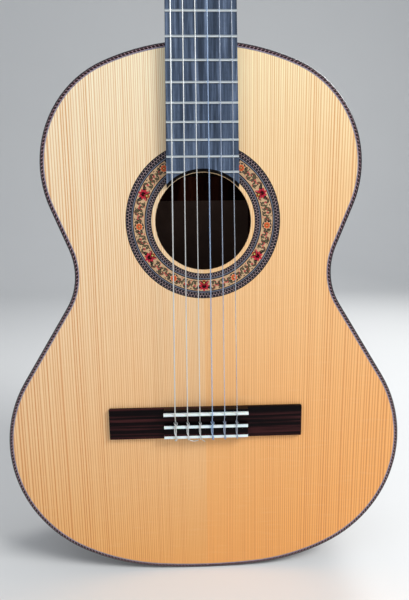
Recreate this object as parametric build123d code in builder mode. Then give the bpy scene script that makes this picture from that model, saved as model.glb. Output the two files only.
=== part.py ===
"""Classical guitar, built as its separate wooden, bone, metal and string parts.

Frame: +Z runs up the neck, +X to the treble side and -Y out of the soundboard. The origin is under the tail,
midway between the foremost and the rearmost point. Sizes are millimetres.
"""

import os
from math import cos, degrees, pi, radians, sin, tan

from build123d import *

# Scale and body
SCALE = 650.0  # nut to the saddle's reference line
BODY_LENGTH = 494.5  # tail to the twelfth fret, where the neck joins
FACE = 45.0  # the soundboard's face stands this far in front of the origin
BODY_DEPTH = 103.0  # soundboard face to the back's highest point
BACK_RADIUS = 4500.0  # the back is part of a sphere
BACK_CREST = 200.0  # height of that sphere's centre above the tail
# The half outline from the tail. An arc is (radius, turn in degrees), negative where it is hollow. A straight
# line is one length.
OUTLINE = [(538.0, 5.0), (200.0, 21.8), (123.8, 95.2), 82.2, (-58.8, 53.5), 38.5, (93.9, 88.8)]
RIB = 2.0
BINDING = 1.3
BINDING_DEPTH = 6.0
PURFLING_WIDTH = 2.8
PURFLING_DEPTH = 1.6
TOP_THICK = 2.4
BACK_THICK = 2.6
EDGE_ROUND = 0.8  # rounding of the bindings' outer edges
LINING = 5.0
LINING_DEPTH = 14.0
GRAFT_WIDTH = 12.0
BACK_STRIP_WIDTH = 5.0
BACK_STRIP_DEPTH = 1.0

# Inside the sound box
TAIL_BLOCK = (64.0, 18.0)  # width and height
HEEL_BLOCK = (60.0, 32.0)
HEEL_FOOT_LENGTH = 72.0  # how far the heel block's foot runs down the back
HEEL_FOOT_THICK = 18.0
BLOCK_GAP = 0.2
FAN_BRACE = (5.0, 4.5)  # width and height
FAN_TOP = 262.0
FAN_LENGTH = 205.0
FAN_STEP = 15.0
FAN_TURN = 4.2
CLOSING_BAR = (100.0, 70.0, 46.0, 28.0)  # length, sideways and upward place of the middle, and slope
HARMONIC_BAR = (8.0, 16.0)
HARMONIC_FROM_HOLE = 74.0
BACK_BAR = (7.0, 13.0)
BACK_BAR_Z = (400.0, 262.0, 118.0)
LABEL = (106.0, 76.0)
LABEL_BELOW_HOLE = 11.6
LABEL_PAPER = 0.3

# Sound hole and rosette
HOLE_RADIUS = 42.8
HOLE_BELOW_JOIN = 150.1
ROSETTE_IN = 46.1
ROSETTE_OUT = 68.9
ROSETTE_DEPTH = 1.2

# Neck and fingerboard
NUT_WIDTH = 50.0
JOIN_WIDTH = 59.7
BOARD_THICK = 5.8
BOARD_END_RADIUS = 44.9  # the board's face stops on this arc round the sound hole
BOARD_FOOT_RADIUS = 43.1  # and slopes in to this one at the soundboard
FRET_COUNT = 19
FRET_WIDTH = 2.1
FRET_HEIGHT = 1.0
TANG_WIDTH = 0.6
TANG_DEPTH = 1.8
NUT_THICK = 5.0
NUT_ABOVE_STRINGS = 0.9
NUT_ROUND = 1.2
NUT_SLOT_FIT = 0.12
SHAFT_Z = 570.0  # the heel's curve ends here
SHAFT_DEPTH = 17.5
NECK_DEPTH = 15.0  # wood at the nut
SHAFT_FULLNESS = (0.58, 0.70)  # how far the neck's section is pulled out at its sides and at its back
HEEL_CAP = 3.0

# Bridge, measured down from the reference line
BRIDGE_LENGTH = 183.0
BRIDGE_CENTRE = 79.0
BRIDGE_FRONT = 2.1
BRIDGE_REAR = -28.2
BLOCK_REAR = -5.4
SADDLE_AT = -1.6
SADDLE_THICK = 2.5
SADDLE_FLOOR = 2.2  # the saddle's slot ends this far in front of the soundboard
SADDLE_TOP = 12.0
SADDLE_CROWN = 1.2
SADDLE_BLOCK = 8.6
TIE_FRONT = -13.9
TIE_REAR = -26.4
TIE_TOP = 7.5
TIE_STRIP = 2.5
TIE_STRIP_DEPTH = 1.0
TIE_STRIP_PROUD = 0.2
TIE_HOLE_HEIGHT = 4.6
TIE_HOLE_RADIUS = 0.8
WING_HEIGHT = 3.6

# Head
HEAD_TILT = 15.0
HEAD_THICK = 20.0
HEAD_HALF = 35.0
HEAD_LENGTH = 186.0
VENEER = 2.0
SLOT_WIDTH = 16.0
SLOT_X = 15.3
SLOT_START = 15.0
SLOT_END = 140.0
TUNER_Y = (52.0, 87.0, 122.0)
PLATE_TOP = 156.0  # the head's straight sides end here
TENON = 12.0  # the head's wood runs this far below the nut line, up to the joint with the neck

# Tuning machines, in the head's own plane
AXLE_DEPTH = 10.5
ROLLER_RADIUS = 5.0
ROLLER_FIT = 0.08
ROLLER_TIP = 1.6
PLATE_THICK = 1.2
PLATE_HEIGHT = 18.0
PLATE_END = 22.5
PLATE_CORNER = 4.0
POST_SIZE = (6.4, 3.0)  # along the head, and along the worm
POST_FROM_AXLE = 6.8
POST_BEYOND_WORM = 3.2
SCREW_Y = (34.5, 69.5, 104.5, 139.5)
SCREW_HEAD = 2.3
SCREW_SHANK = 1.2
SCREW_HOLE = 1.25
AXLE_RADIUS = 3.0
AXLE_HOLE = 3.1
SEAT_RADIUS = 2.2  # the axle's end, where the gear sits
GEAR_BORE = 2.25
GEAR_SCREW_BORE = 1.3
STRING_HOLE = 0.9
MODULE = 0.8
TEETH = 14
GEAR_THICK = 4.0
GEAR_GAP = 0.05
GEAR_OUT = 6.25
GEAR_ROOT = 4.6
GEAR_ROOT_HALF = 0.80
GEAR_TIP_HALF = 0.36
WORM_PITCH_RADIUS = 2.9
WORM_CORE = 2.0
WORM_OUT = 3.55
WORM_ROOT_HALF = 0.78
WORM_TIP_HALF = 0.34
WORM_TURNS = 3.5
WORM_HALF_LENGTH = 4.7
SHAFT_RADIUS = 1.6
WORM_X = 40.2
BUTTON_START = 22.5
BUTTON_LENGTH = 17.0
BUTTON_HALF_WIDTH = 8.6
BUTTON_THICK = 9.0
BUTTON_ROUND = 3.6
COLLAR_RADIUS = 3.0
COLLAR_LENGTH = 4.0
SHAFT_IN_BUTTON = 13.5

# Strings from the bass side: number, diameter
STRINGS = [(6, 1.10), (5, 0.90), (4, 0.76), (3, 1.02), (2, 0.82), (1, 0.72)]
NUT_SPREAD = 42.5
SADDLE_SPREAD = 57.5
NUT_STRING = 7.2  # underside of the strings above the soundboard plane, at the nut
ROLLER_PLACES = (17.6, 15.6, 13.4)  # where the strings wind, out from the middle, nearest rollers first
SADDLE_DROP = 39.0  # the strings turn down by this behind the saddle
TIE_LIFT = 0.25  # the tied ends lie this far above the tie block
STRING_GAP = 0.05

# Worked out
LINE_Z = BODY_LENGTH - SCALE / 2
NUT_Z = BODY_LENGTH + SCALE / 2
NUT_BACK = NUT_Z + NUT_THICK
HOLE_Z = BODY_LENGTH - HOLE_BELOW_JOIN
SPHERE_Y = BODY_DEPTH - FACE - BACK_RADIUS
FRONT = Plane.XZ.offset(FACE)
HEAD = Plane(
    origin=(0, -FACE, NUT_BACK),
    x_dir=(1, 0, 0),
    z_dir=(0, -cos(radians(HEAD_TILT)), sin(radians(HEAD_TILT))),
)
PITCH = pi * MODULE
GEAR_PITCH_RADIUS = MODULE * TEETH / 2
CENTRES = GEAR_PITCH_RADIUS + WORM_PITCH_RADIUS

os.makedirs("parts", exist_ok=True)


def save(name, part, place=None):
    """Writes a finished piece, moved to its place if it was drawn in the head's plane."""
    shape = part if place is None else part.moved(place)
    shape.label = name
    export_step(shape, f"parts/{name}.step")


def board_width(z):
    """Width of the fingerboard at a height."""
    return NUT_WIDTH + (JOIN_WIDTH - NUT_WIDTH) * (NUT_Z - z) / (NUT_Z - BODY_LENGTH)


def fret_z(n):
    """Height of fret n, by equal temperament."""
    return NUT_Z - SCALE * (1 - 2 ** (-n / 12))


def plan(inset):
    """The body's outline, that far inside the outer edge."""
    with BuildLine() as half:
        point, way = Vector(0, inset), Vector(1, 0)
        for step in OUTLINE:
            if isinstance(step, tuple):
                hollow = step[0] < 0
                radius = abs(step[0]) + (inset if hollow else -inset)
                piece = JernArc(point, way, radius, -step[1] if hollow else step[1])
            else:
                piece = Line(point, point + way * step)
            point, way = piece @ 1, piece % 1
        TangentArc(point, (0, BODY_LENGTH - inset), tangent=way)
        mirror(about=Plane.YZ)
    with BuildSketch() as face:
        make_face(half.edges())
    return face.sketch


PLANS = {inset: plan(inset) for inset in (0.0, BINDING, RIB, BINDING + PURFLING_WIDTH, RIB + LINING)}


def back_cut(inset, mode=Mode.INTERSECT):
    """Keeps, or takes away, what lies inside the back's sphere, that far under its surface."""
    with Locations((0, SPHERE_Y, BACK_CREST)):
        Sphere(BACK_RADIUS - inset, mode=mode)


# ---- Sound box ----


def soundboard():
    with BuildPart() as top:
        with BuildSketch(FRONT):
            add(PLANS[BINDING])
        extrude(amount=-TOP_THICK)
        with BuildSketch(FRONT):
            add(PLANS[BINDING])
            add(PLANS[BINDING + PURFLING_WIDTH], mode=Mode.SUBTRACT)
        extrude(amount=-PURFLING_DEPTH, mode=Mode.SUBTRACT)
        with BuildSketch(FRONT):
            with Locations((0, HOLE_Z)):
                Circle(ROSETTE_OUT)
                Circle(ROSETTE_IN, mode=Mode.SUBTRACT)
        extrude(amount=-ROSETTE_DEPTH, mode=Mode.SUBTRACT)
        with BuildSketch(FRONT):
            with Locations((0, HOLE_Z)):
                Circle(HOLE_RADIUS)
        extrude(amount=-TOP_THICK, mode=Mode.SUBTRACT)
    save("soundboard", top.part)


def ring_round_hole(name, inner, outer, start, thick):
    """A flat ring on the hole's centre, from start behind the soundboard's face."""
    with BuildPart() as ring:
        with BuildSketch(FRONT.offset(-start)):
            with Locations((0, HOLE_Z)):
                Circle(outer)
                Circle(inner, mode=Mode.SUBTRACT)
        extrude(amount=-thick)
    save(name, ring.part)


def edge_ring(name, outer, inner, depth, rounding=0.0):
    """A band round the front edge, between two insets, with its outer front edge rounded."""
    with BuildPart() as band:
        with BuildSketch(FRONT):
            add(PLANS[outer])
            add(PLANS[inner], mode=Mode.SUBTRACT)
        extrude(amount=-depth)
        if rounding:
            fillet(band.faces().sort_by(Axis.Y)[0].outer_wire().edges(), rounding)
    save(name, band.part)


def back_edge():
    """The band that the back's binding fills, before its edge is rounded."""
    with BuildPart() as band:
        with BuildSketch(FRONT.offset(-BODY_DEPTH / 2)):
            add(PLANS[0.0])
            add(PLANS[BINDING], mode=Mode.SUBTRACT)
        extrude(amount=-BODY_DEPTH)
        back_cut(0)
        back_cut(BINDING_DEPTH, Mode.SUBTRACT)
    return band.part


def ribs():
    """The two bent sides, rabbeted for the bindings, and the graft over their joint at the tail."""
    with BuildPart() as band:
        with BuildSketch(FRONT.offset(-TOP_THICK)):
            add(PLANS[0.0])
            add(PLANS[RIB], mode=Mode.SUBTRACT)
        extrude(amount=-BODY_DEPTH)
        back_cut(BACK_THICK)
        with BuildSketch(FRONT):
            add(PLANS[0.0])
            add(PLANS[BINDING], mode=Mode.SUBTRACT)
        extrude(amount=-BINDING_DEPTH, mode=Mode.SUBTRACT)
        add(back_edge(), mode=Mode.SUBTRACT)
    with BuildPart() as graft:
        add(band.part)
        with Locations((0, 0, RIB)):
            Box(GRAFT_WIDTH, 3 * BODY_DEPTH, 4 * RIB, mode=Mode.INTERSECT)
    save("end_graft", graft.part)
    with BuildPart() as sides:
        add(band.part)
        add(graft.part, mode=Mode.SUBTRACT)
    save("rib_bass", sides.part.split(Plane.YZ, keep=Keep.BOTTOM))
    save("rib_treble", sides.part.split(Plane.YZ, keep=Keep.TOP))


def back():
    """The arched back, and the strip let into it along its centre joint."""
    with BuildPart() as plate:
        with BuildSketch(FRONT.offset(-BODY_DEPTH / 2)):
            add(PLANS[BINDING])
        extrude(amount=-BODY_DEPTH)
        back_cut(0)
        back_cut(BACK_THICK, Mode.SUBTRACT)
    with BuildPart() as groove:
        with Locations((0, BODY_DEPTH - FACE, BODY_LENGTH / 2)):
            Box(BACK_STRIP_WIDTH, BODY_DEPTH / 2, BODY_LENGTH)
        back_cut(BACK_STRIP_DEPTH, Mode.SUBTRACT)
    save("back", plate.part - groove.part)
    save("back_strip", plate.part & groove.part)


def back_binding():
    with BuildPart() as band:
        add(back_edge())
        fillet(band.faces().sort_by(Axis.Y)[-1].outer_wire().edges(), EDGE_ROUND)
    save("back_binding", band.part)


def block_between(start, size, z):
    """Wood that fills the sound box inside a rectangle, from that far behind the face to the back."""
    with BuildPart() as wood:
        with BuildSketch(FRONT.offset(-start)):
            add(PLANS[RIB])
            with Locations((0, z)):
                Rectangle(size[0], 2 * size[1], mode=Mode.INTERSECT)
        extrude(amount=-BODY_DEPTH)
        back_cut(BACK_THICK)
    return wood.part


def blocks():
    """The tail block, and the heel block with its foot on the back."""
    save("tail_block", block_between(TOP_THICK, TAIL_BLOCK, 0))
    foot_start = BODY_DEPTH - BACK_THICK - HEEL_FOOT_THICK
    with BuildPart() as heel:
        add(block_between(TOP_THICK, HEEL_BLOCK, BODY_LENGTH))
        add(block_between(foot_start, (HEEL_BLOCK[0], HEEL_FOOT_LENGTH), BODY_LENGTH))
    save("heel_block", heel.part)


def linings():
    """Four kerfed strips that glue the soundboard and the back to the ribs, stopped at the two blocks."""
    with BuildPart() as front:
        with BuildSketch(FRONT.offset(-TOP_THICK)):
            add(PLANS[RIB])
            add(PLANS[RIB + LINING], mode=Mode.SUBTRACT)
        extrude(amount=-LINING_DEPTH)
    with BuildPart() as rear:
        with BuildSketch(FRONT.offset(-BODY_DEPTH / 2)):
            add(PLANS[RIB])
            add(PLANS[RIB + LINING], mode=Mode.SUBTRACT)
        extrude(amount=-BODY_DEPTH)
        back_cut(BACK_THICK)
        back_cut(BACK_THICK + LINING_DEPTH, Mode.SUBTRACT)
    with BuildPart() as strips:
        add(front.part)
        add(rear.part)
        for (width, height), z in ((TAIL_BLOCK, 0), (HEEL_BLOCK, BODY_LENGTH)):
            with Locations((0, 0, z)):
                Box(width + 2 * BLOCK_GAP, 4 * BODY_DEPTH, 2 * (height + LINING), mode=Mode.SUBTRACT)
    save("linings", strips.part)


def top_braces():
    """Seven fan braces and two closing bars under the lower bout, and two harmonic bars beside the hole."""
    width, height = FAN_BRACE
    depth = -FACE + TOP_THICK + height / 2
    from_top = (Align.CENTER, Align.CENTER, Align.MAX)
    length, out, up, slope = CLOSING_BAR
    with BuildPart() as fan:
        for k in range(-3, 4):
            with Locations(Location((FAN_STEP * k, depth, FAN_TOP), (0, -FAN_TURN * k, 0))):
                Box(width, height, FAN_LENGTH - 8 * abs(k), align=from_top)
        for side in (-1, 1):
            with Locations(Location((side * out, depth, up), (0, -side * slope, 0))):
                Box(length, height, width)
        with BuildSketch(FRONT):
            add(PLANS[RIB + LINING])
        extrude(amount=-BODY_DEPTH, mode=Mode.INTERSECT)
    with BuildPart() as bars:
        with BuildSketch(FRONT.offset(-TOP_THICK)):
            with Locations((0, HOLE_Z + HARMONIC_FROM_HOLE), (0, HOLE_Z - HARMONIC_FROM_HOLE)):
                Rectangle(BODY_LENGTH, HARMONIC_BAR[0])
            add(PLANS[RIB + LINING], mode=Mode.INTERSECT)
        extrude(amount=-HARMONIC_BAR[1])
    save("top_braces", Compound([*fan.part.solids(), *bars.part.solids()]))


def back_braces():
    """Three arched bars across the back."""
    width, height = BACK_BAR
    with BuildPart() as bars:
        with BuildSketch(FRONT.offset(-BODY_DEPTH / 2)):
            with Locations(*[(0, z) for z in BACK_BAR_Z]):
                Rectangle(BODY_LENGTH, width)
            add(PLANS[RIB + LINING], mode=Mode.INTERSECT)
        extrude(amount=-BODY_DEPTH)
        back_cut(BACK_THICK)
        back_cut(BACK_THICK + height, Mode.SUBTRACT)
    save("back_braces", bars.part)


def label():
    """A blank paper label, glued to the back where it shows through the sound hole."""
    with BuildPart() as sheet:
        with BuildSketch(FRONT.offset(-BODY_DEPTH / 2)):
            with Locations((0, HOLE_Z - LABEL_BELOW_HOLE)):
                Rectangle(*LABEL)
        extrude(amount=-BODY_DEPTH)
        back_cut(BACK_THICK)
        back_cut(BACK_THICK + LABEL_PAPER, Mode.SUBTRACT)
    save("label", sheet.part)


# ---- Neck ----


def neck_section(z, depth, side, floor):
    """A rounded section of the neck. side and floor pull the curve out towards the corners."""
    half = board_width(z) / 2 - 0.1
    with BuildSketch(Plane.XY.offset(z)) as section:
        with BuildLine():
            Line((-half, -FACE), (half, -FACE))
            for way in (1, -1):
                Bezier(
                    (way * half, -FACE),
                    (way * half, -FACE + side * depth),
                    (way * half * floor, -FACE + depth),
                    (0, -FACE + depth),
                )
        make_face()
    return section.sketch


def neck():
    """The shaft with its heel, and the heel's cap. A heel row is height, depth and how full the section is."""
    heel = [
        (484, 128, 0.32, 0.52),
        (506, 122, 0.32, 0.52),
        (513, 100, 0.34, 0.52),
        (519, 72, 0.38, 0.54),
        (526, 48, 0.42, 0.58),
        (534, 33, 0.48, 0.62),
        (544, 23.5, 0.54, 0.66),
        (556, 18.9, 0.58, 0.70),
        (SHAFT_Z, SHAFT_DEPTH, *SHAFT_FULLNESS),
    ]
    head_depth = HEAD_THICK / cos(radians(HEAD_TILT))
    low = neck_section(SHAFT_Z, SHAFT_DEPTH, *SHAFT_FULLNESS)
    high = neck_section(NUT_Z - TENON, NECK_DEPTH, *SHAFT_FULLNESS)
    top = neck_section(NUT_BACK, head_depth, 0.86, 0.9)
    heel_sections = [neck_section(*row).face() for row in heel]
    with BuildPart() as whole:
        loft(heel_sections)
        loft([low.face(), high.face()])
        loft([high.face(), top.face()])
        with BuildSketch(FRONT.offset(1)):
            add(PLANS[0.0])
        extrude(amount=-2 * BODY_DEPTH, mode=Mode.SUBTRACT)
    with BuildPart() as wood:
        add(whole.part)
        back_cut(HEEL_CAP)
    save("neck", wood.part)
    with BuildPart() as cap:
        add(whole.part)
        back_cut(0)
        back_cut(HEEL_CAP, Mode.SUBTRACT)
    save("heel_cap", cap.part)


def fingerboard():
    low = HOLE_Z + BOARD_END_RADIUS / 2
    slot_depth = TANG_DEPTH + 0.2
    with BuildPart() as board:
        with BuildSketch(FRONT):
            with BuildLine():
                Polyline(
                    (-board_width(low) / 2, low),
                    (board_width(low) / 2, low),
                    (NUT_WIDTH / 2, NUT_Z),
                    (-NUT_WIDTH / 2, NUT_Z),
                    close=True,
                )
            make_face()
        extrude(amount=BOARD_THICK)
        with Locations(Location((0, -FACE, HOLE_Z), (90, 0, 0))):
            Cone(BOARD_FOOT_RADIUS, BOARD_END_RADIUS, BOARD_THICK, align=(Align.CENTER, Align.CENTER, Align.MIN),
                 mode=Mode.SUBTRACT)
        for n in range(1, FRET_COUNT + 1):
            with Locations((0, -FACE - BOARD_THICK, fret_z(n))):
                Box(2 * NUT_WIDTH, 2 * slot_depth, TANG_WIDTH, mode=Mode.SUBTRACT)
    save("fingerboard", board.part)


def frets():
    """Half-round wires on narrow tangs."""
    surface = -FACE - BOARD_THICK
    with BuildPart() as wires:
        for n in range(1, FRET_COUNT + 1):
            z = fret_z(n)
            low, high = (surface, z - FRET_WIDTH / 2), (surface, z + FRET_WIDTH / 2)
            with BuildSketch(Plane.YZ):
                with BuildLine():
                    ThreePointArc(low, (surface - FRET_HEIGHT, z), high)
                    Line(high, low)
                make_face()
                with Locations((surface + TANG_DEPTH / 2, z)):
                    Rectangle(TANG_DEPTH, TANG_WIDTH)
            extrude(amount=board_width(z) / 2 - 0.15, both=True)
        with Locations(Location((0, -FACE, HOLE_Z), (90, 0, 0))):
            Cylinder(BOARD_END_RADIUS, 40, mode=Mode.SUBTRACT)
    save("frets", wires.part)


def string_x(index, z):
    """Sideways place of a string at a height, from the bass side."""
    spread = SADDLE_SPREAD + (NUT_SPREAD - SADDLE_SPREAD) * (z - LINE_Z) / SCALE
    return spread * (index / 5 - 0.5)


def nut():
    standing = (Align.CENTER, Align.MAX, Align.MIN)
    with BuildPart() as bone:
        with Locations((0, -FACE, NUT_Z)):
            Box(NUT_WIDTH, NUT_STRING + NUT_ABOVE_STRINGS, NUT_THICK, align=standing)
        fillet(bone.faces().sort_by(Axis.Y)[0].edges().filter_by(Axis.X), NUT_ROUND)
        for index, (_, diameter) in enumerate(STRINGS):
            half = diameter / 2 + NUT_SLOT_FIT
            centre = (string_x(index, NUT_Z), -FACE - NUT_STRING - diameter / 2, NUT_Z)
            with Locations(centre):
                Cylinder(half, 3 * NUT_THICK, mode=Mode.SUBTRACT)
                Box(2 * half, NUT_THICK, 3 * NUT_THICK, align=(Align.CENTER, Align.MAX, Align.CENTER),
                    mode=Mode.SUBTRACT)
    save("nut", bone.part)


# ---- Bridge ----


def bridge():
    """The wooden bridge with its saddle block and tie block, the bone saddle and the two strips."""
    depth = BRIDGE_FRONT - BRIDGE_REAR
    middle = LINE_Z + (BRIDGE_FRONT + BRIDGE_REAR) / 2
    outward = (Align.CENTER, Align.MAX, Align.CENTER)
    strip_places = (TIE_FRONT - TIE_STRIP / 2, TIE_REAR + TIE_STRIP / 2)
    strip_floor = -FACE - TIE_TOP + TIE_STRIP_DEPTH
    with BuildPart() as wood:
        with BuildSketch(FRONT):
            with Locations((0, middle)):
                Rectangle(BRIDGE_LENGTH, depth)
        extrude(amount=WING_HEIGHT)
        fillet(wood.edges().filter_by(Axis.X).group_by(Axis.Y)[0], 1.2)
        fillet(wood.edges().filter_by(Axis.Z).group_by(Axis.Y)[0], 1.0)
        for top, high, low in ((SADDLE_BLOCK, BRIDGE_FRONT, BLOCK_REAR), (TIE_TOP, TIE_FRONT, TIE_REAR)):
            with BuildSketch(FRONT):
                with Locations((0, LINE_Z + (high + low) / 2)):
                    Rectangle(BRIDGE_CENTRE, high - low)
            extrude(amount=top)
        with Locations((0, -FACE - SADDLE_FLOOR, LINE_Z + SADDLE_AT)):
            Box(BRIDGE_CENTRE + 1, SADDLE_TOP, SADDLE_THICK, align=outward, mode=Mode.SUBTRACT)
        for z in strip_places:
            with Locations((0, strip_floor, LINE_Z + z)):
                Box(BRIDGE_CENTRE + 1, 2 * TIE_STRIP_DEPTH, TIE_STRIP, align=outward, mode=Mode.SUBTRACT)
        for index in range(len(STRINGS)):
            with Locations((string_x(index, LINE_Z), -FACE - TIE_HOLE_HEIGHT, LINE_Z + BRIDGE_REAR)):
                Cylinder(TIE_HOLE_RADIUS, 40, mode=Mode.SUBTRACT)
    save("bridge", wood.part)
    with BuildPart() as saddle:
        with Locations((0, -FACE - SADDLE_FLOOR, LINE_Z + SADDLE_AT)):
            Box(BRIDGE_CENTRE, SADDLE_TOP - SADDLE_FLOOR, SADDLE_THICK, align=outward)
        fillet(saddle.faces().sort_by(Axis.Y)[0].edges().filter_by(Axis.X), SADDLE_CROWN)
    save("saddle", saddle.part)
    with BuildPart() as strips:
        for z in strip_places:
            with Locations((0, strip_floor, LINE_Z + z)):
                Box(BRIDGE_CENTRE, TIE_STRIP_DEPTH + TIE_STRIP_PROUD, TIE_STRIP, align=outward)
    save("tie_block_strips", strips.part)


# ---- Head, drawn in its own plane ----


def head_outline():
    """The head's outline: flared shoulders, straight sides for the plates and a low crest in three parts."""
    with BuildLine() as half:
        flare = Spline((NUT_WIDTH / 2, 0), (HEAD_HALF, 24), tangents=((0.15, 1), (0, 1)))
        side = Line(flare @ 1, (HEAD_HALF, PLATE_TOP))
        shoulder = Spline(side @ 1, (23, PLATE_TOP + 14), tangents=((0, 1), (-1, 0.15)))
        ThreePointArc(shoulder @ 1, (14, PLATE_TOP + 19.5), (0, HEAD_LENGTH))
        Line((0, -TENON), (NUT_WIDTH / 2, -TENON))
        Line((NUT_WIDTH / 2, -TENON), (NUT_WIDTH / 2, 0))
        mirror(about=Plane.YZ)
    with BuildSketch() as face:
        make_face(half.edges())
    return face.sketch


def head_slots():
    """The two string slots, with round ends."""
    with BuildSketch() as slots:
        for side in (-1, 1):
            with Locations((side * SLOT_X, (SLOT_START + SLOT_END) / 2)):
                SlotOverall(SLOT_END - SLOT_START, SLOT_WIDTH, rotation=90)
    return slots.sketch


def cut_at_nut():
    """Takes away what lies below the neck's end."""
    with Locations((0, 0, NUT_BACK)):
        Box(200, 400, 60, align=(Align.CENTER, Align.CENTER, Align.MAX), mode=Mode.SUBTRACT)


def head():
    """The slotted head with its roller holes, and the veneer on its face."""
    outline = head_outline()
    slots = head_slots()
    upright = (Align.CENTER, Align.CENTER, Align.MIN)
    with BuildPart() as wood:
        with BuildSketch(HEAD):
            add(outline)
            add(slots, mode=Mode.SUBTRACT)
        extrude(amount=-HEAD_THICK)
        for y in TUNER_Y:
            for side in (-1, 1):
                start = HEAD.from_local_coords((side * (ROLLER_TIP - 0.4), y, -AXLE_DEPTH))
                with Locations(Location(start, (0, side * 90, 0))):
                    Cylinder(ROLLER_RADIUS + ROLLER_FIT, 60, align=upright, mode=Mode.SUBTRACT)
        cut_at_nut()
    save("headstock", wood.part)
    with BuildPart() as veneer:
        with BuildSketch(HEAD):
            add(outline)
            add(slots, mode=Mode.SUBTRACT)
        extrude(amount=VENEER)
        cut_at_nut()
    save("head_veneer", veneer.part)


# ---- Tuning machines, drawn on the treble side of the head's plane ----


def disc(x, y, radius, thick):
    """Adds a disc on a roller's or a screw's axis, from x outwards by its thickness."""
    with Locations(Location((x, y, -AXLE_DEPTH), (0, 90, 0))):
        Cylinder(radius, thick, align=(Align.CENTER, Align.CENTER, Align.MIN))


def plate(side):
    """A backing plate with its worm brackets: two posts for each worm."""
    outer = HEAD_HALF + PLATE_THICK
    post_out = WORM_X + POST_BEYOND_WORM
    with BuildPart() as metal:
        with BuildSketch(Plane.YZ.offset(HEAD_HALF)):
            with Locations((TUNER_Y[1], -AXLE_DEPTH)):
                RectangleRounded(TUNER_Y[2] - TUNER_Y[0] + 2 * PLATE_END, PLATE_HEIGHT, PLATE_CORNER)
            with Locations(*[(y, -AXLE_DEPTH) for y in TUNER_Y]):
                Circle(AXLE_HOLE, mode=Mode.SUBTRACT)
            with Locations(*[(y, -AXLE_DEPTH) for y in SCREW_Y]):
                Circle(SCREW_HOLE, mode=Mode.SUBTRACT)
        extrude(amount=PLATE_THICK)
        for y in TUNER_Y:
            for way in (-1, 1):
                with Locations(((outer + post_out) / 2 - 0.1, y - CENTRES, -AXLE_DEPTH + way * POST_FROM_AXLE)):
                    Box(post_out - outer + 0.2, *POST_SIZE)
            with Locations((WORM_X, y - CENTRES, -AXLE_DEPTH)):
                Cylinder(SHAFT_RADIUS + ROLLER_FIT, 2 * PLATE_HEIGHT, mode=Mode.SUBTRACT)
    return metal.part if side > 0 else metal.part.mirror(Plane.YZ)


def roller(y):
    """A string roller: a bone-coloured barrel on a metal axle that carries the gear."""
    barrel_end = HEAD_HALF - 0.2
    seat = WORM_X - GEAR_THICK / 2
    with BuildPart() as barrel:
        disc(ROLLER_TIP, y, ROLLER_RADIUS, barrel_end - ROLLER_TIP)
        disc(barrel_end, y, AXLE_RADIUS, seat - barrel_end)
        disc(seat, y, SEAT_RADIUS, GEAR_THICK)
        with Locations(Location((seat + GEAR_THICK, y, -AXLE_DEPTH), (0, 90, 0))):
            Cylinder(GEAR_SCREW_BORE, 12, mode=Mode.SUBTRACT)
        with Locations((SLOT_X, y, -AXLE_DEPTH)):
            Cylinder(STRING_HOLE, 4 * ROLLER_RADIUS, mode=Mode.SUBTRACT)
    return barrel.part


def gear_profile(turn):
    """The gear's toothed outline, turned by that many degrees."""
    flanks = (
        (-GEAR_ROOT_HALF, GEAR_ROOT),
        (-GEAR_TIP_HALF, GEAR_OUT),
        (GEAR_TIP_HALF, GEAR_OUT),
        (GEAR_ROOT_HALF, GEAR_ROOT),
    )
    points = []
    for tooth in range(TEETH):
        for across, out in flanks:
            corner = Vector(-out, -across).rotate(Axis.Z, 360 / TEETH * tooth + turn)
            points.append((corner.X, corner.Y))
    with BuildSketch() as profile:
        with BuildLine():
            Polyline(*points, close=True)
        make_face()
        Circle(GEAR_BORE, mode=Mode.SUBTRACT)
    return profile.sketch


def gear(y):
    """The driven gear, its teeth slanted to follow the worm, and the screw that holds it."""
    lead = PITCH / (2 * pi * WORM_PITCH_RADIUS)
    twist = degrees(GEAR_THICK / 2 * lead / GEAR_PITCH_RADIUS)
    start = WORM_X - GEAR_THICK / 2 + GEAR_GAP
    end = WORM_X + GEAR_THICK / 2 - GEAR_GAP
    head_start = end + 2 * GEAR_GAP
    head_thick = 1.5
    shank_length = 5.0
    with BuildPart() as wheel:
        loft(
            [
                gear_profile(turn).face().moved(Plane((x, y, -AXLE_DEPTH), (0, 1, 0), (1, 0, 0)).location)
                for x, turn in ((start, -twist), (end, twist))
            ],
            ruled=True,
        )
    with BuildPart() as screw:
        disc(head_start, y, AXLE_RADIUS, head_thick)
        fillet(screw.edges().sort_by(Axis.X)[-1], 0.7)
        disc(head_start - shank_length, y, SCREW_HOLE, shank_length)
        with Locations((head_start + head_thick, y, -AXLE_DEPTH)):
            Box(head_thick - 0.3, 4 * SEAT_RADIUS, 0.7, mode=Mode.SUBTRACT)
    return Compound([*wheel.part.solids(), *screw.part.solids()])


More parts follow.
